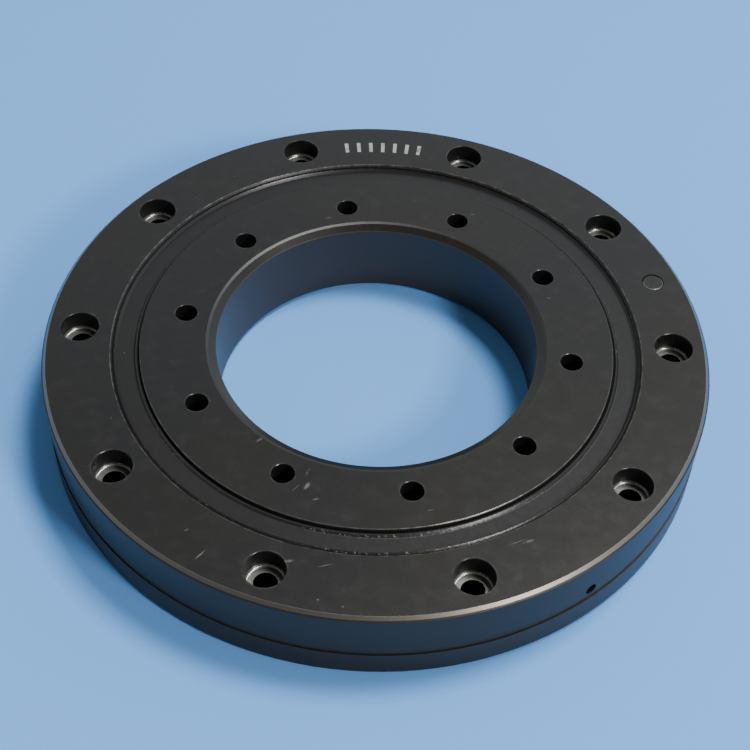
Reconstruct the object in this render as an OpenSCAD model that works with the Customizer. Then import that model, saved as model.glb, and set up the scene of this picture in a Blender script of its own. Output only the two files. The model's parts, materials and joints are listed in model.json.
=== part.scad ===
// Crossed-roller slewing ring bearing.
// Two one-piece rings turn on a single row of cylindrical rollers, which lean
// outwards by 45 degrees one way and the other in turn, so that the one row
// carries radial, axial and tilting loads. A spacer sits between each two
// rollers. The rollers went in through a hole in the outer ring, which a round
// plug closes and a pin locks. A rubber seal closes the gap at each face.
// Origin: centre of the bottom face. +Z is the axis of rotation, towards the
// face with the outer ring's counterbores. +X passes through one outer bolt hole.

/* [Rings] */
// Bore of the inner ring
bore_d = 80; // [76:0.5:84]
// Outside diameter of the outer ring
ring_od = 165; // [162:0.5:172]
// Height of both rings
ring_h = 22; // [22:0.5:26]
// Chamfer on the outside rim, at both faces
rim_chamfer = 1; // [0.2:0.1:1.5]
// Width of the bore's lead-in chamfer, along the face
bore_chamfer_w = 2.5; // [1.5:0.1:2.6]
// Depth of the bore's lead-in chamfer, along the axis
bore_chamfer_h = 1.3; // [0.8:0.1:2]
// Width of the shallow bevel that eases the chamfer into the face
bore_bevel_w = 0.7; // [0.3:0.1:1]
// Depth of that bevel
bore_bevel_h = 0.23; // [0.1:0.01:0.3]
// Small edge break on the inner ring's shoulder
edge_break = 0.25; // [0.1:0.05:0.4]
// How far the inner ring is turned from the outer ring at rest, in degrees
inner_rest_angle = -7.2; // [-18:0.1:18]

/* [Rollers] */
// Diameter of the circle through the roller centres
pitch_d = 124; // [123.5:0.1:124.5]
// Diameter of a roller
roller_d = 8; // [7.8:0.05:8]
// Length of a roller
roller_l = 7.6; // [7:0.1:7.7]
// Corner chamfer of a roller
roller_chamfer = 0.4; // [0.2:0.1:0.6]
// Clearance between a roller and the raceways
race_gap = 0.1; // [0.1:0.01:0.15]
// Clearance between a roller and its spacers
pocket_gap = 0.1; // [0.08:0.01:0.15]

/* [Bolt holes] */
// Number of bolt holes in each ring
bolt_count = 10; // [5:1:10]
// Bolt circle of the outer ring
outer_bolt_pcd = 148; // [147:0.5:149]
// Bolt circle of the inner ring
inner_bolt_pcd = 97; // [96:0.5:98]
// Diameter of every bolt hole
bolt_hole_d = 5.5; // [4.5:0.1:5.8]
// Diameter of the counterbores
counterbore_d = 9.5; // [8.5:0.1:10]
// Depth of the counterbores
counterbore_depth = 5.4; // [4:0.1:6]
// Corner radius at the counterbores' floors
counterbore_corner_r = 0.6; // [0.2:0.1:0.8]
// Edge break at the mouths of the holes
mouth_break = 0.1; // [0.05:0.05:0.3]

/* [Outside groove and grease hole] */
// Width of the groove around the outer ring
groove_w = 6.4; // [4:0.2:7]
// Depth of the groove
groove_depth = 0.3; // [0.2:0.1:1]
// Diameter of the grease hole, from the groove to the raceway
grease_hole_d = 3; // [2:0.1:4]
// Direction of the grease hole, in degrees
grease_hole_angle = -52.5; // [-58:0.5:-46]

/* [Filling plug and pin] */
// Diameter of the plug
plug_d = 11; // [10.4:0.1:12]
// Radial clearance of the plug in its hole
plug_gap = 0.02; // [0.01:0.01:0.05]
// Direction of the plug, in degrees
plug_angle = 18; // [14:1:22]
// Diameter of the pin that locks the plug
pin_d = 5.6; // [5:0.1:6]
// Radius at which the pin stands
pin_r = 74.8; // [74:0.1:76]
// How far the pin's end lies below the top face
pin_recess = 0.15; // [0.05:0.05:0.5]

/* [Seals] */
// Diameter of the inner ring's shoulder, on which the seal lips slide
shoulder_d = 117.6; // [117:0.1:118]
// Diameter of the seats in the outer ring
seat_d = 130.8; // [130.4:0.1:131.2]
// Chamfer at the mouth of each seat
seat_chamfer = 0.55; // [0.3:0.05:0.6]
// Depth of the seats below the faces
seat_depth = 4; // [3.6:0.1:4.2]
// Depth of the seal's flat land below the face
seal_recess = 1.25; // [1.1:0.05:1.6]
// Clearance between the seal lip and the shoulder
lip_gap = 0.08; // [0.05:0.01:0.1]

/* [Hidden] */
$fn = 96;
little = 0.5;

mid_z = ring_h / 2;
bore_r = bore_d / 2;
od_r = ring_od / 2;
pitch_r = pitch_d / 2;
shoulder_r = shoulder_d / 2;
seat_r = seat_d / 2;
seat_z = ring_h - seat_depth;

// The raceways form a square channel that stands on its corner.
channel_half = roller_d / 2 + race_gap;
channel_corner = channel_half * sqrt(2);
inner_apex_r = pitch_r - channel_corner;
outer_apex_r = pitch_r + channel_corner;
split_half_gap = 0.8;
inner_land_r = pitch_r - split_half_gap;
outer_land_r = pitch_r + split_half_gap;
relief_half_w = 0.5;
relief_depth = 0.4;

// A small groove in each seat holds the seal's bead.
bead_depth = 0.6;
bead_h = 1.1;
bead_z = seat_z + 0.4;

// The inner ring steps in below the seal.
step_z = seat_z - 0.6;

roller_count = 42;
roller_step = 360 / roller_count;
roller_tilt = 45;
spacer_side = roller_l;
spacer_end_gap = 1.5;
spacer_l = pitch_d * sin(roller_step / 2) - 2 * spacer_end_gap;

pin_floor_z = 2.5;
pin_chamfer = 0.3;

function two_digits(i) = str(i < 10 ? "0" : "", i);
function roller_name(i) = str("roller_", two_digits(i));
function mirrored(points) =
    [for (i = [len(points) - 1 : -1 : 0]) [points[i][0], ring_h - points[i][1]]];

// Half section of the outer ring, with its raceway, seats and outside groove.
module outer_section() {
    upper = [
        [outer_apex_r + relief_depth, mid_z + relief_half_w],
        [outer_apex_r - relief_half_w, mid_z + relief_half_w],
        [outer_land_r, mid_z + outer_apex_r - outer_land_r],
        [outer_land_r, seat_z],
        [seat_r, seat_z],
        [seat_r, bead_z],
        [seat_r + bead_depth, bead_z],
        [seat_r + bead_depth, bead_z + bead_h],
        [seat_r, bead_z + bead_h],
        [seat_r, ring_h - seat_chamfer],
        [seat_r + seat_chamfer, ring_h],
        [od_r - rim_chamfer, ring_h],
        [od_r, ring_h - rim_chamfer],
        [od_r, mid_z + groove_w / 2],
        [od_r - groove_depth, mid_z + groove_w / 2]
    ];
    polygon(concat(upper, mirrored(upper)));
}

// Half section of the inner ring, with its raceway and shoulders.
module inner_section() {
    upper = [
        [bore_r, ring_h - bore_chamfer_h],
        [bore_r + bore_chamfer_w - bore_bevel_w, ring_h - bore_bevel_h],
        [bore_r + bore_chamfer_w, ring_h],
        [shoulder_r - edge_break, ring_h],
        [shoulder_r, ring_h - edge_break],
        [shoulder_r, step_z],
        [inner_land_r, step_z],
        [inner_land_r, mid_z + inner_land_r - inner_apex_r],
        [inner_apex_r + relief_half_w, mid_z + relief_half_w],
        [inner_apex_r - relief_depth, mid_z + relief_half_w]
    ];
    polygon(concat(upper, mirrored(upper)));
}

// Places its children around a bolt circle, in the plane of the bottom face.
module around(count, pcd) {
    for (i = [0 : count - 1])
        rotate([0, 0, i * 360 / count])
            translate([pcd / 2, 0, 0])
                children();
}

// A cone that breaks the edge of a round hole at height z, opening upwards.
module edge_cone(d, z) {
    translate([0, 0, z - mouth_break])
        cylinder(h = 2 * mouth_break, d1 = d, d2 = d + 4 * mouth_break);
}

// Half section of a counterbore, round at its lower corner.
module counterbore_section() {
    corner_x = counterbore_d / 2 - counterbore_corner_r;
    square([corner_x, counterbore_depth + little]);
    translate([0, counterbore_corner_r])
        square([counterbore_d / 2, counterbore_depth + little - counterbore_corner_r]);
    translate([corner_x, counterbore_corner_r])
        circle(r = counterbore_corner_r);
}

// A bolt hole with its counterbore in the top face, as the tool cuts it.
module counterbored_hole() {
    translate([0, 0, -little])
        cylinder(h = ring_h + 2 * little, d = bolt_hole_d);
    translate([0, 0, ring_h - counterbore_depth])
        rotate_extrude() counterbore_section();
    edge_cone(counterbore_d, ring_h);
    mirror([0, 0, 1])
        edge_cone(bolt_hole_d, 0);
}

// A cylinder along the outward direction at the given angle, at mid height.
module radial_cylinder(angle, from_r, d) {
    rotate([0, 0, angle])
        translate([from_r, 0, mid_z])
            rotate([0, 90, 0])
                cylinder(h = od_r + little - from_r, d = d);
}

// The space that the pin fills.
module pin_hole() {
    rotate([0, 0, plug_angle])
        translate([pin_r, 0, pin_floor_z])
            cylinder(h = ring_h, d = pin_d);
}

module outer_ring() {
    color("#3b3c3d")
        difference() {
            rotate_extrude() outer_section();
            around(bolt_count, outer_bolt_pcd) counterbored_hole();
            radial_cylinder(plug_angle, pitch_r, plug_d + 2 * plug_gap);
            radial_cylinder(grease_hole_angle, pitch_r, grease_hole_d);
            pin_hole();
        }
}

module inner_ring() {
    color("#38383a")
        rotate([0, 0, inner_rest_angle])
            difference() {
                rotate_extrude() inner_section();
                around(bolt_count, inner_bolt_pcd)
                    translate([0, 0, ring_h])
                        mirror([0, 0, 1])
                            counterbored_hole();
            }
}

// Half section of the seal at the top face. A bead holds it in the seat's groove,
// and its visible face is a flat land. Outside the land a thin wall lines the seat
// almost up to the ring's face. Inside it a low rib slopes down to the lip, which
// runs just clear of the inner ring's shoulder.
module seal_section() {
    land_z = ring_h - seal_recess;
    wall_w = 0.45;
    wall_r = seat_r - wall_w;
    wall_z = ring_h - 0.1;
    wall_foot = 0.6;
    rib_h = 0.45;
    rib_w = 0.3;
    lip_r = shoulder_r + lip_gap;
    rib_r = lip_r + 0.57;
    lip_h = 0.4;
    polygon([
        [lip_r + 1, seat_z],
        [seat_r, seat_z],
        [seat_r, bead_z],
        [seat_r + bead_depth, bead_z],
        [seat_r + bead_depth, bead_z + bead_h],
        [seat_r, bead_z + bead_h],
        [seat_r, wall_z - wall_w],
        [wall_r, wall_z],
        [wall_r, land_z + wall_foot],
        [wall_r - wall_foot, land_z],
        [rib_r + rib_w + rib_h, land_z],
        [rib_r + rib_w, land_z + rib_h],
        [rib_r, land_z + rib_h],
        [lip_r, land_z],
        [lip_r, land_z - lip_h]
    ]);
}

module upper_seal() {
    color("#2a2a2b")
        rotate_extrude() seal_section();
}

module lower_seal() {
    color("#2a2a2b")
        translate([0, 0, ring_h])
            mirror([0, 0, 1])
                rotate_extrude() seal_section();
}

// Section of the space inside the outer ring at the plug: the raceway's outer
// half and the gap between the rings.
module inside_section() {
    lip_h = plug_d / 2 + little;
    corner = outer_apex_r - outer_land_r;
    polygon([
        [pitch_r - little, mid_z - lip_h],
        [outer_land_r, mid_z - lip_h],
        [outer_land_r, mid_z - corner],
        [outer_apex_r - relief_half_w, mid_z - relief_half_w],
        [outer_apex_r + relief_depth, mid_z - relief_half_w],
        [outer_apex_r + relief_depth, mid_z + relief_half_w],
        [outer_apex_r - relief_half_w, mid_z + relief_half_w],
        [outer_land_r, mid_z + corner],
        [outer_land_r, mid_z + lip_h],
        [pitch_r - little, mid_z + lip_h]
    ]);
}

// Section of the space around the outer ring at the plug, with the groove.
module outside_section() {
    lip_h = plug_d / 2 + little;
    polygon([
        [od_r - groove_depth, mid_z - groove_w / 2],
        [od_r, mid_z - groove_w / 2],
        [od_r, mid_z - lip_h],
        [od_r + 2 * little, mid_z - lip_h],
        [od_r + 2 * little, mid_z + lip_h],
        [od_r, mid_z + lip_h],
        [od_r, mid_z + groove_w / 2],
        [od_r - groove_depth, mid_z + groove_w / 2]
    ]);
}

module filling_plug() {
    color("#444547")
        difference() {
            radial_cylinder(plug_angle, pitch_r, plug_d);
            rotate_extrude() inside_section();
            rotate_extrude() outside_section();
            pin_hole();
        }
}

module plug_pin() {
    pin_l = ring_h - pin_recess - pin_floor_z;
    pin_end_r = pin_d / 2 - pin_chamfer;
    color("#55565a")
        rotate([0, 0, plug_angle])
            translate([pin_r, 0, pin_floor_z])
                rotate_extrude()
                    polygon([
                        [0, 0],
                        [pin_end_r, 0],
                        [pin_d / 2, pin_chamfer],
                        [pin_d / 2, pin_l - pin_chamfer],
                        [pin_end_r, pin_l],
                        [0, pin_l]
                    ]);
}

// Puts its children at roller station i, with Z along the roller's own axis.
// Whole stations hold rollers, which lean outwards at the top when i is even.
module at_station(i) {
    lean = i % 2 == 0 ? roller_tilt : 180 - roller_tilt;
    rotate([0, 0, i * roller_step])
        translate([pitch_r, 0, mid_z])
            rotate([0, lean, 0])
                children();
}

module roller(i) {
    half_l = roller_l / 2;
    roller_r = roller_d / 2;
    color("#b9bcc0")
        at_station(i)
            rotate_extrude()
                polygon([
                    [0, -half_l],
                    [roller_r - roller_chamfer, -half_l],
                    [roller_r, roller_chamfer - half_l],
                    [roller_r, half_l - roller_chamfer],
                    [roller_r - roller_chamfer, half_l],
                    [0, half_l]
                ]);
}

// The block between rollers i and i + 1, hollowed by a pocket for each of them.
module spacer(i) {
    pocket_l = 3 * roller_l;
    difference() {
        rotate([0, 0, (i + 0.5) * roller_step])
            translate([pitch_r, 0, mid_z])
                rotate([0, roller_tilt, 0])
                    cube([spacer_side, spacer_l, spacer_side], center = true);
        for (neighbour = [i, i + 1])
            at_station(neighbour)
                cylinder(h = pocket_l, d = roller_d + 2 * pocket_gap, center = true);
    }
}

module roller_spacers() {
    color("#c9b98c")
        for (i = [1 : roller_count]) spacer(i);
}

outer_ring();
inner_ring();
upper_seal();
lower_seal();
filling_plug();
plug_pin();
roller_spacers();
for (i = [1 : roller_count])
    roller(i);
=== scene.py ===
"""Looks for the crossed-roller slewing ring: materials, small surface detail, floor, lights and camera.

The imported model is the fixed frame. Its origin is the centre of the bottom face, +Z is the axis of
rotation, and everything here is in metres.
"""
import json
import math

import bpy
from mathutils import Matrix, Vector


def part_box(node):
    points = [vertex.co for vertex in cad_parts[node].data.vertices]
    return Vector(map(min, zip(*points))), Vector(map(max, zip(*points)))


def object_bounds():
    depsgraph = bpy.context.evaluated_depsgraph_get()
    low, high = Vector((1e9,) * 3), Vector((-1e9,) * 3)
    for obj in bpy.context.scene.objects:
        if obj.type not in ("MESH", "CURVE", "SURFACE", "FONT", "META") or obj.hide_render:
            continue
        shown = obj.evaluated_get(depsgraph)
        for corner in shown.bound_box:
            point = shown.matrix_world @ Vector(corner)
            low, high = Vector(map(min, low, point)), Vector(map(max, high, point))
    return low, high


MM = 0.001

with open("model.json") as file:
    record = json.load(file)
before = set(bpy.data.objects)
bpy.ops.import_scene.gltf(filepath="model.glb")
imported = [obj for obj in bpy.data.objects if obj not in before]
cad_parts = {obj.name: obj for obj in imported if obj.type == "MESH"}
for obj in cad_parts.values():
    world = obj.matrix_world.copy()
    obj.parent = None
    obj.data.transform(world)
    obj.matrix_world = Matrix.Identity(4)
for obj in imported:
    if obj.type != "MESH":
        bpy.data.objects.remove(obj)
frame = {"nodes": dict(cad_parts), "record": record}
cad_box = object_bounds()
nodes = frame["nodes"]
mounts = {mount["name"]: mount for mount in frame["record"]["mounts"]}

top_z = cad_box[1].z
outer_r = cad_box[1].x
bore_r = mounts["bore"]["dims"]["r_mm"] * MM
outer_bolt_r = mounts["outer_bolts"]["dims"]["pcd_mm"] / 2 * MM
inner_bolt_r = mounts["inner_bolts"]["dims"]["pcd_mm"] / 2 * MM
bolt_count = mounts["outer_bolts"]["dims"]["count"]
outer_floor_z = mounts["outer_bolts"]["pos_m"][2]
inner_floor_z = mounts["inner_bolts"]["pos_m"][2]
inner_rest_angle = math.radians(-7.2)
screw_hole_r = mounts["outer_bolts"]["dims"]["hole_r_mm"] * MM
counterbore_r = 4.75 * MM
seal_outer_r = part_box("upper_seal")[1].x
seat_r = seal_outer_r - 0.6 * MM
shoulder_r = seal_outer_r - 7.2 * MM
seal_inner_rib_r = seal_outer_r - 6.0 * MM
seal_outer_rib_r = seal_outer_r - 0.9 * MM
bore_cone_r = bore_r + 1.7 * MM
bore_bevel_r = bore_r + 2.5 * MM
pin_worn_r = 2.6 * MM


# ---------------------------------------------------------------- camera, floor and light

def make_camera():
    """A camera above the near side, a little tilted."""
    azimuth = math.radians(-0.44)
    elevation = math.radians(48.212)
    roll = math.radians(2.365)
    distance = 361.81 * MM
    target = Vector((-0.217 * MM, -12.679 * MM, top_z))
    lens, sensor = 71.385, 36.0

    back = Vector((
        math.sin(azimuth) * math.cos(elevation),
        -math.cos(azimuth) * math.cos(elevation),
        math.sin(elevation),
    ))
    level_right = (-back).cross(Vector((0, 0, 1))).normalized()
    level_up = level_right.cross(-back)
    right = math.cos(roll) * level_right + math.sin(roll) * level_up
    up = -math.sin(roll) * level_right + math.cos(roll) * level_up

    data = bpy.data.cameras.new("camera")
    data.lens, data.sensor_width = lens, sensor
    data.clip_start, data.clip_end = 0.01, 20.0
    camera = bpy.data.objects.new("camera", data)
    camera.matrix_world = Matrix.Translation(target + back * distance) @ Matrix(
        (right, up, back)).transposed().to_4x4()
    bpy.context.scene.collection.objects.link(camera)
    bpy.context.scene.camera = camera


def make_floor():
    """A wide plain sheet at the height of the part's underside."""
    mesh = bpy.data.meshes.new("floor")
    half = 3.0
    corners = [(-half, -half, 0), (half, -half, 0), (half, half, 0), (-half, half, 0)]
    mesh.from_pydata(corners, [], [(0, 1, 2, 3)])
    floor = bpy.data.objects.new("floor", mesh)
    bpy.context.scene.collection.objects.link(floor)
    paper = Paint("pale_floor", roughness=0.9)
    fibre = paper.noise(1500, detail=3)
    paper.set("base", paper.mix(fibre, (0.125, 0.36, 0.81), (0.145, 0.39, 0.85)))
    paper.bump(fibre, 0.2, 0.2 * MM)
    mesh.materials.append(paper.material)


def make_area_light(name, azimuth, elevation, distance, size, watts, colour=(1, 1, 1)):
    """A square soft light that faces the part. Azimuth is the direction it stands in, from +X."""
    a, e = math.radians(azimuth), math.radians(elevation)
    out = Vector((math.cos(a) * math.cos(e), math.sin(a) * math.cos(e), math.sin(e)))
    data = bpy.data.lights.new(name, "AREA")
    data.shape, data.size = "SQUARE", size
    data.energy, data.color = watts, colour
    light = bpy.data.objects.new(name, data)
    light.location = out * distance
    light.rotation_mode = "QUATERNION"
    light.rotation_quaternion = out.to_track_quat("Z", "Y")
    bpy.context.scene.collection.objects.link(light)


def make_world():
    """A dim room, brighter behind the object and to the right: bluish low down and warm overhead."""
    world = bpy.data.worlds.new("studio")
    bpy.context.scene.world = world
    world.use_nodes = True
    tree = world.node_tree
    background = tree.nodes["Background"]
    background.inputs["Strength"].default_value = 0.80
    parts = tree.nodes.new("ShaderNodeSeparateXYZ")
    tree.links.new(tree.nodes.new("ShaderNodeTexCoord").outputs["Generated"], parts.inputs[0])
    colour = tree.nodes.new("ShaderNodeValToRGB")
    tree.links.new(parts.outputs["Z"], colour.inputs[0])
    low, high = colour.color_ramp.elements
    low.position, low.color = 0.62, (0.80, 0.90, 1.0, 1)
    high.position, high.color = 0.80, (0.36, 0.35, 0.30, 1)
    zenith = colour.color_ramp.elements.new(1.0)
    zenith.color = (0.18, 0.165, 0.14, 1)
    result = colour.outputs["Color"]
    for axis, limits in (("Y", (-0.8, 0.3, 0.35, 1.0)), ("X", (-0.25, 0.25, 0.80, 1.2))):
        factor = tree.nodes.new("ShaderNodeMapRange")
        tree.links.new(parts.outputs[axis], factor.inputs[0])
        for socket, value in zip(factor.inputs[1:5], limits):
            socket.default_value = value
        shade = tree.nodes.new("ShaderNodeVectorMath")
        shade.operation = "SCALE"
        tree.links.new(result, shade.inputs[0])
        tree.links.new(factor.outputs[0], shade.inputs["Scale"])
        result = shade.outputs[0]
    tree.links.new(result, background.inputs["Color"])


# ---------------------------------------------------------------- material nodes

class Field:
    """A number that varies over a surface. Arithmetic on it adds nodes to its material."""

    def __init__(self, paint, socket):
        self.paint, self.socket = paint, socket

    def __add__(self, other):
        return self.paint.math("ADD", self, other)

    def __sub__(self, other):
        return self.paint.math("SUBTRACT", self, other)

    def __mul__(self, other):
        return self.paint.math("MULTIPLY", self, other)

    def __truediv__(self, other):
        return self.paint.math("DIVIDE", self, other)

    def ramp(self, low, high, to_low=0.0, to_high=1.0):
        """Maps low..high to to_low..to_high with soft ends, and holds beyond."""
        made = self.paint.node("ShaderNodeMapRange", interpolation_type="SMOOTHSTEP")
        for socket, value in zip(made.inputs, (self, low, high, to_low, to_high)):
            self.paint.feed(socket, value)
        return Field(self.paint, made.outputs[0])

    def band(self, low, high, soft):
        """1 from low to high, falling to 0 over the soft distance beyond each."""
        return self.ramp(low - soft, low) * self.ramp(high, high + soft, 1.0, 0.0)

    def near(self, centre, reach):
        """1 at centre, falling to 0 at reach from it."""
        return self.paint.math("ABSOLUTE", self - centre).ramp(0.0, reach, 1.0, 0.0)

    def most(self, other):
        return self.paint.math("MAXIMUM", self, other)


class Paint:
    """One material, with short calls that add its nodes. Positions are the object's own, in metres."""

    INPUTS = {"base": "Base Color", "roughness": "Roughness", "metallic": "Metallic", "ior": "IOR"}

    def __init__(self, name, **constants):
        self.material = bpy.data.materials.new(name)
        self.material.use_nodes = True
        self.tree = self.material.node_tree
        self.shader = self.tree.nodes["Principled BSDF"]
        self.last_bump = None
        for key, value in constants.items():
            self.set(key, value)
        self.position = self.node("ShaderNodeTexCoord").outputs["Object"]

    def node(self, kind, **settings):
        made = self.tree.nodes.new(kind)
        for key, value in settings.items():
            setattr(made, key, value)
        return made

    def feed(self, socket, value):
        """Links a field or a socket to an input, or sets its constant."""
        if isinstance(value, Field):
            value = value.socket
        if isinstance(value, bpy.types.NodeSocket):
            self.tree.links.new(value, socket)
        elif isinstance(value, tuple) and len(socket.default_value) == 4:
            socket.default_value = (*value, 1)
        else:
            socket.default_value = value

    def set(self, key, value):
        self.feed(self.shader.inputs[self.INPUTS[key]], value)

    def math(self, operation, a, b=0.0):
        made = self.node("ShaderNodeMath", operation=operation)
        self.feed(made.inputs[0], a)
        self.feed(made.inputs[1], b)
        return Field(self, made.outputs[0])

    def hypotenuse(self, a, b):
        return self.math("SQRT", a * a + b * b)

    def join(self, x, y, z):
        made = self.node("ShaderNodeCombineXYZ")
        for socket, value in zip(made.inputs, (x, y, z)):
            self.feed(socket, value)
        return made.outputs[0]

    def polar(self):
        """The radius, the angle in radians and the height of each point."""
        parts = self.node("ShaderNodeSeparateXYZ")
        self.feed(parts.inputs[0], self.position)
        x, y, z = (Field(self, socket) for socket in parts.outputs)
        return self.hypotenuse(x, y), self.math("ARCTAN2", y, x), z

    def noise(self, scale, detail=3.0, roughness=0.5, vector=None):
        made = self.node("ShaderNodeTexNoise")
        self.feed(made.inputs["Vector"], vector or self.position)
        self.feed(made.inputs["Scale"], scale)
        self.feed(made.inputs["Detail"], detail)
        self.feed(made.inputs["Roughness"], roughness)
        return Field(self, made.outputs["Fac"])

    def specks(self, scale, size, share):
        """Sparse round dots. Size is a part of a cell, and share is the part of the cells with a dot."""
        made = self.node("ShaderNodeTexVoronoi")
        self.feed(made.inputs["Vector"], self.position)
        self.feed(made.inputs["Scale"], scale)
        random = self.node("ShaderNodeSeparateColor")
        self.feed(random.inputs[0], made.outputs["Color"])
        chosen = Field(self, random.outputs[0]).ramp(1 - share, 1 - share + 0.01)
        dot_size = Field(self, random.outputs[1]) * size
        inside = (Field(self, made.outputs["Distance"]) - dot_size).ramp(-0.04, 0.02, 1.0, 0.0)
        return inside * chosen

    def mark(self, x, y, z, length, width, turn, edge=0.4):
        """An oval patch around (x, y, z), turned by degrees about Z, with a soft edge."""
        made = self.node("ShaderNodeMapping", vector_type="TEXTURE")
        self.feed(made.inputs["Vector"], self.position)
        made.inputs["Location"].default_value = (x, y, z)
        made.inputs["Rotation"].default_value = (0, 0, math.radians(turn))
        made.inputs["Scale"].default_value = (length / 2, width / 2, 1 * MM)
        far = self.node("ShaderNodeVectorMath", operation="LENGTH")
        self.feed(far.inputs[0], made.outputs[0])
        return Field(self, far.outputs["Value"]).ramp(edge, 1.0, 1.0, 0.0)

    def mix(self, factor, a, b):
        """Blends two colours."""
        made = self.node("ShaderNodeMix", data_type="RGBA")
        self.feed(made.inputs["Factor"], factor)
        self.feed(made.inputs[6], a)
        self.feed(made.inputs[7], b)
        return made.outputs[2]

    def blend(self, factor, a, b):
        """Blends two numbers."""
        made = self.node("ShaderNodeMix", data_type="FLOAT")
        self.feed(made.inputs[0], factor)
        self.feed(made.inputs[2], a)
        self.feed(made.inputs[3], b)
        return Field(self, made.outputs[0])

    def bump(self, height, strength, distance):
        """Adds a bump on top of those already there."""
        made = self.node("ShaderNodeBump")
        self.feed(made.inputs["Height"], height)
        made.inputs["Strength"].default_value = strength
        made.inputs["Distance"].default_value = distance
        if self.last_bump is not None:
            self.feed(made.inputs["Normal"], self.last_bump)
        self.last_bump = made.outputs[0]
        self.feed(self.shader.inputs["Normal"], self.last_bump)


# ---------------------------------------------------------------- materials

def at(radius_mm, angle):
    """A place on a ring's face, from its radius in mm and its angle in degrees."""
    return radius_mm * MM * math.cos(math.radians(angle)), radius_mm * MM * math.sin(math.radians(angle))


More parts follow.
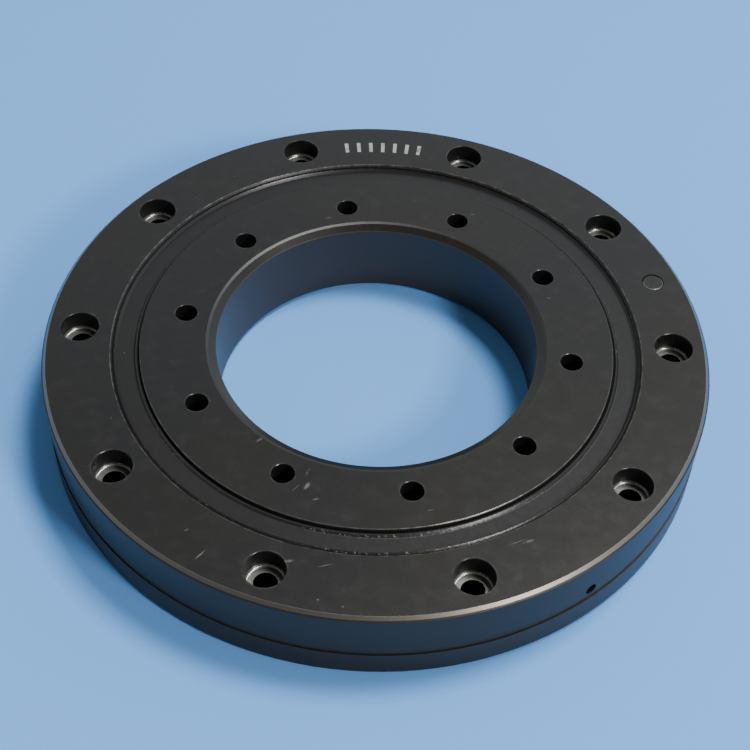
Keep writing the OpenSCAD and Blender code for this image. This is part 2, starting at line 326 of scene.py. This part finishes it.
def blackened_steel(name, edges, bands, bolt_r, first_hole, floor_z, mouths, scratches, smudges,
                    etched=False):
    """Blackened, ground and oiled steel, with bare metal along the sharp edges.

    edges lists (inner radius, outer radius, height, reach, amount) where the black has worn off.
    bands lists (inner radius, outer radius, roughness) of the turned cuts with a gloss of their own.
    The bolt holes stand at bolt_r, with the first at first_hole, and their counterbores' floors are at
    floor_z. mouths lists (height, radius) where the holes meet the faces. scratches and smudges list
    (place, length in mm, width in mm, turn in degrees).
    """
    steel = Paint(name, ior=1.45)
    radius, angle, height = steel.polar()
    cloud = steel.noise(22, detail=3)
    mottle = steel.noise(260, detail=5, roughness=0.65)
    rub = steel.noise(420, detail=4, roughness=0.7)

    # Distance from the axis of the nearest bolt hole.
    step = 2 * math.pi / bolt_count
    turn = (angle - first_hole) / step
    turn = (turn - steel.math("ROUND", turn)) * step
    from_hole = steel.hypotenuse(
        radius * steel.math("COSINE", turn) - bolt_r,
        radius * steel.math("SINE", turn))

    # The black itself, slightly bluish or brownish, and faintly mottled.
    black = steel.mix(cloud.ramp(0.3, 0.7), (0.012, 0.012, 0.013), (0.014, 0.013, 0.011))
    black = steel.mix(mottle.ramp(0.5, 0.8), black, (0.018, 0.017, 0.016))
    # Painted light: the outer and bore walls get a lighter, warm black that tempers the blue of the
    # floor they reflect; they are also rougher.
    outer_wall = radius.ramp(outer_r - 0.6 * MM, outer_r - 0.4 * MM)
    bore_wall = radius.ramp(bore_r + 0.05 * MM, bore_r + 0.2 * MM, 1.0, 0.0)
    black = steel.mix(bore_wall, black, (0.034, 0.023, 0.015))
    black = steel.mix(outer_wall, black, (0.040, 0.026, 0.015))

    # Hole walls are duller and painted darker as shade inside the holes, and a thin lighter ring runs
    # round each mouth.
    inside = from_hole.ramp(counterbore_r, counterbore_r + 0.1 * MM, 1.0, 0.0) * height.band(
        1.0 * MM, top_z - 1.0 * MM, 0.9 * MM)
    # Painted shade: the hole walls' black is darkened to stand for the shade in the holes.
    black = steel.mix(inside, black, (0.004, 0.004, 0.005))
    for mouth_z, mouth_r in mouths:
        rim = from_hole.near(mouth_r + 0.2 * MM, 0.35 * MM) * height.near(mouth_z, 0.15 * MM)
        black = steel.mix(rim * rub.ramp(0.4, 0.65), black, (0.036, 0.036, 0.034))

    # The floors of the counterbores have lost their black.
    floor = height.band(floor_z - 0.2 * MM, floor_z + 0.5 * MM, 0.3 * MM) * from_hole.band(
        screw_hole_r + 0.1 * MM, counterbore_r + 0.1 * MM, 0.1 * MM)
    floor = floor * mottle.ramp(0.2, 0.5, 0.7, 1.0)

    # Rubbed edges.
    worn = None
    for inner_r, outer_edge_r, edge_z, reach, amount in edges:
        near = radius.band(inner_r, outer_edge_r, 0.15 * MM) * height.near(edge_z, reach) * amount
        worn = near if worn is None else worn.most(near)
    worn = (worn + (rub - 0.5) * 0.7).ramp(0.35, 0.75)

    # Small scratches, dried oil and dust.
    pale = steel.specks(420, 0.10, 0.08) * 0.35
    for (x, y), length, width, line_turn in scratches:
        line = steel.mark(x, y, top_z, length * MM, width * MM, line_turn, edge=0.0)
        pale = pale.most(line * rub.ramp(0.25, 0.55) * 0.8)
    for (x, y), length, width, line_turn in smudges:
        patch = steel.mark(x, y, top_z, length * MM, width * MM, line_turn, edge=0.0)
        pale = pale.most((patch * rub.ramp(0.35, 0.62)).ramp(0.05, 0.9) * 0.6)

    base = steel.mix(floor, black, (0.30, 0.30, 0.28))
    base = steel.mix(pale, base, (0.17, 0.17, 0.15))
    if etched:
        # A plain row of seven etched ticks at the back, across the bolt circle.
        along = (angle - math.pi / 2) * bolt_r
        pitch = 3.4 * MM
        row_end = 11.2 * MM
        place = along / pitch
        tick = steel.math("ABSOLUTE", place - steel.math("ROUND", place)).ramp(0.12, 0.17, 1.0, 0.0)
        row = tick * along.band(-row_end, row_end, 0.1 * MM)
        row = row * radius.band(bolt_r - 2.6 * MM, bolt_r + 1.2 * MM, 0.1 * MM)
        row = row * height.ramp(top_z - 0.1 * MM, top_z - 0.05 * MM)
        base = steel.mix(row * rub.ramp(0.2, 0.5), base, (0.33, 0.33, 0.33))
    steel.set("base", steel.mix(worn, base, (0.24, 0.215, 0.18)))
    # Half metal on the outer wall gives its reflections the painted warm colour of the wall.
    steel.set("metallic", worn.most(floor * 0.85).most(outer_wall * 0.5))
    rough = steel.blend(mottle, 0.22, 0.32)
    rough = steel.blend(outer_wall.most(bore_wall), rough, 0.42)
    for inner_r, outer_edge_r, roughness in bands:
        rough = steel.blend(radius.band(inner_r, outer_edge_r, 0.1 * MM), rough, roughness)
    rough = steel.blend(inside, rough, 0.5)
    rough = steel.blend(floor, rough, 0.27)
    steel.set("roughness", steel.blend(worn, rough, 0.36))

    # Fine rings left by grinding, and a slight grain.
    lay = steel.noise(1.0, detail=2, vector=steel.join(radius * 9000, angle * 1.5, height * 9000))
    steel.bump(lay, 0.12, 0.02 * MM)
    steel.bump(mottle, 0.10, 0.03 * MM)
    return steel.material


def seal_rubber():
    """Oily nitrile rubber with dust, greasy lumps along its ribs, and a painted glint on the ribs at one
    side.
    """
    rubber = Paint("seal_rubber", ior=1.45)
    radius, angle, _ = rubber.polar()
    grain = rubber.noise(700, detail=4, roughness=0.6)
    cloud = rubber.noise(35, detail=3)
    lumps = rubber.noise(1400, detail=3, roughness=0.7)
    inner_rib = radius.near(seal_inner_rib_r, 0.6 * MM)
    outer_rib = radius.near(seal_outer_rib_r, 0.45 * MM)
    patch = rubber.noise(60, detail=2).ramp(0.45, 0.6)
    # Painted highlight: between -100 and -65 degrees the ribs get the lighter colour at full strength,
    # where the light glints; elsewhere only scattered greasy patches at half strength.
    glint_side = angle.band(math.radians(-100), math.radians(-65), math.radians(8))
    rib_grease_and_glint = inner_rib.most(outer_rib) * lumps.ramp(0.55, 0.7) * (patch * 0.5).most(glint_side)
    dust = rubber.specks(420, 0.10, 0.10)
    base = rubber.mix(cloud, (0.010, 0.010, 0.011), (0.014, 0.013, 0.012))
    # The lighter colour is dust, greasy patches, and a painted glint on the ribs at one side.
    base = rubber.mix(rib_grease_and_glint.most(dust * 0.4), base, (0.20, 0.20, 0.17))
    rubber.set("base", base)
    rubber.set("roughness", rubber.blend(grain, 0.24, 0.36))
    rubber.bump(grain, 0.12, 0.04 * MM)
    rubber.bump(lumps * inner_rib.most(outer_rib), 0.5, 0.10 * MM)
    return rubber.material


def plain_metal(name, low, high, smooth, rough, scale):
    """Bare metal with a fine grain, between two colours and two roughnesses."""
    metal = Paint(name, metallic=1.0)
    grain = metal.noise(scale, detail=4)
    metal.set("base", metal.mix(grain, low, high))
    metal.set("roughness", metal.blend(grain, smooth, rough))
    metal.bump(grain, 0.1, 0.02 * MM)
    return metal.material


def pin_steel():
    """The pin's end, blackened with the ring, with its corner rubbed bright."""
    centre = (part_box("plug_pin")[0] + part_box("plug_pin")[1]) / 2
    pin = Paint("pin_steel", ior=1.45)
    parts = pin.node("ShaderNodeSeparateXYZ")
    pin.feed(parts.inputs[0], pin.position)
    x, y, _ = (Field(pin, socket) for socket in parts.outputs)
    radius = pin.hypotenuse(x - centre.x, y - centre.y)
    rub = pin.noise(600, detail=4, roughness=0.7)
    arc = pin.noise(170, detail=1).ramp(0.45, 0.6)
    worn = radius.near(pin_worn_r, 0.35 * MM) * arc + (rub - 0.5) * 0.3
    worn = worn.ramp(0.4, 0.8)
    black = pin.mix(rub, (0.012, 0.012, 0.012), (0.020, 0.019, 0.018))
    pin.set("base", pin.mix(worn, black, (0.34, 0.33, 0.30)))
    pin.set("metallic", worn)
    pin.set("roughness", pin.blend(worn, pin.blend(rub, 0.22, 0.34), 0.45))
    pin.bump(rub, 0.12, 0.04 * MM)
    return pin.material


def resin():
    """Moulded resin in an even cream, slightly uneven in colour and gloss."""
    plastic = Paint("spacer_resin", ior=1.5)
    grain = plastic.noise(500, detail=3)
    plastic.set("base", plastic.mix(grain, (0.45, 0.36, 0.20), (0.55, 0.46, 0.29)))
    plastic.set("roughness", plastic.blend(grain, 0.35, 0.5))
    plastic.bump(grain, 0.1, 0.03 * MM)
    return plastic.material


def dress(names, material):
    """Gives each named part the one material."""
    for name in names:
        mesh = nodes[name].data
        mesh.materials.clear()
        mesh.materials.append(material)


OUTER_SCRATCHES = [
    (at(76.8, 241), 4.6, 0.50, 50), (at(73.2, 236), 1.6, 0.35, 30), (at(71.0, 217), 2.4, 0.22, 20),
    (at(78.5, 262), 0.8, 0.6, 0), (at(79.5, 266), 0.7, 0.5, 0), (at(69.5, 262), 5.0, 0.25, 15),
    (at(69.0, 298), 6.0, 0.22, 25), (at(77.0, 288), 3.0, 0.22, -10),
]
OUTER_SMUDGES = [(at(70.0, 300), 7.0, 1.4, 25), (at(70.5, 255), 5.0, 1.2, 10)]
INNER_SCRATCHES = [
    (at(45.5, 108), 2.6, 0.3, 20), (at(51.0, 250), 3.4, 0.3, 50), (at(54.5, 284), 2.2, 0.25, 15),
    (at(52.8, 62), 2.0, 0.25, 5), (at(46.4, 20), 1.6, 0.25, -10),
]
INNER_SMUDGES = [
    (at(49.5, 252.5), 4.0, 1.6, 60), (at(46.0, 251.0), 4.0, 1.2, 70), (at(43.5, 232), 3.0, 1.2, 40),
    (at(52.5, 256), 2.6, 1.0, 20),
]

rollers = sorted(n for n in nodes if n.startswith("roller_") and n != "roller_spacers")
faces = (top_z, 0)
rim_in_r, rim_out_r = outer_r - 1.0 * MM, outer_r - 0.4 * MM
dress(["outer_ring", "filling_plug"], blackened_steel(
    "blackened_outer",
    edges=[(rim_in_r, rim_out_r, face_z, 3.0 * MM, 1.0) for face_z in faces]
    + [(seat_r + 0.3 * MM, seat_r + 0.55 * MM, face_z, 0.6 * MM, 0.5) for face_z in faces],
    bands=[],
    bolt_r=outer_bolt_r, first_hole=0.0, floor_z=outer_floor_z,
    mouths=[(top_z, counterbore_r), (0, screw_hole_r)],
    scratches=OUTER_SCRATCHES, smudges=OUTER_SMUDGES, etched=True))
dress(["inner_ring"], blackened_steel(
    "blackened_inner",
    edges=[(shoulder_r - 0.2 * MM, shoulder_r, face_z, 0.4 * MM, 0.65) for face_z in faces],
    bands=[(bore_r + 0.1 * MM, bore_cone_r, 0.19), (bore_cone_r + 0.15 * MM, bore_bevel_r, 0.40)],
    bolt_r=inner_bolt_r, first_hole=inner_rest_angle, floor_z=inner_floor_z,
    mouths=[(top_z, screw_hole_r), (0, counterbore_r)],
    scratches=INNER_SCRATCHES, smudges=INNER_SMUDGES))
dress(["upper_seal", "lower_seal"], seal_rubber())
dress(["plug_pin"], pin_steel())
dress(rollers, plain_metal("roller_steel", (0.55, 0.55, 0.56), (0.62, 0.62, 0.63), 0.12, 0.2, 1200))
dress(["roller_spacers"], resin())

make_camera()
make_floor()
make_world()
make_area_light("key", azimuth=-44, elevation=37, distance=1.1, size=0.2, watts=8)
make_area_light("main", azimuth=35, elevation=69, distance=2.5, size=0.7, watts=65)
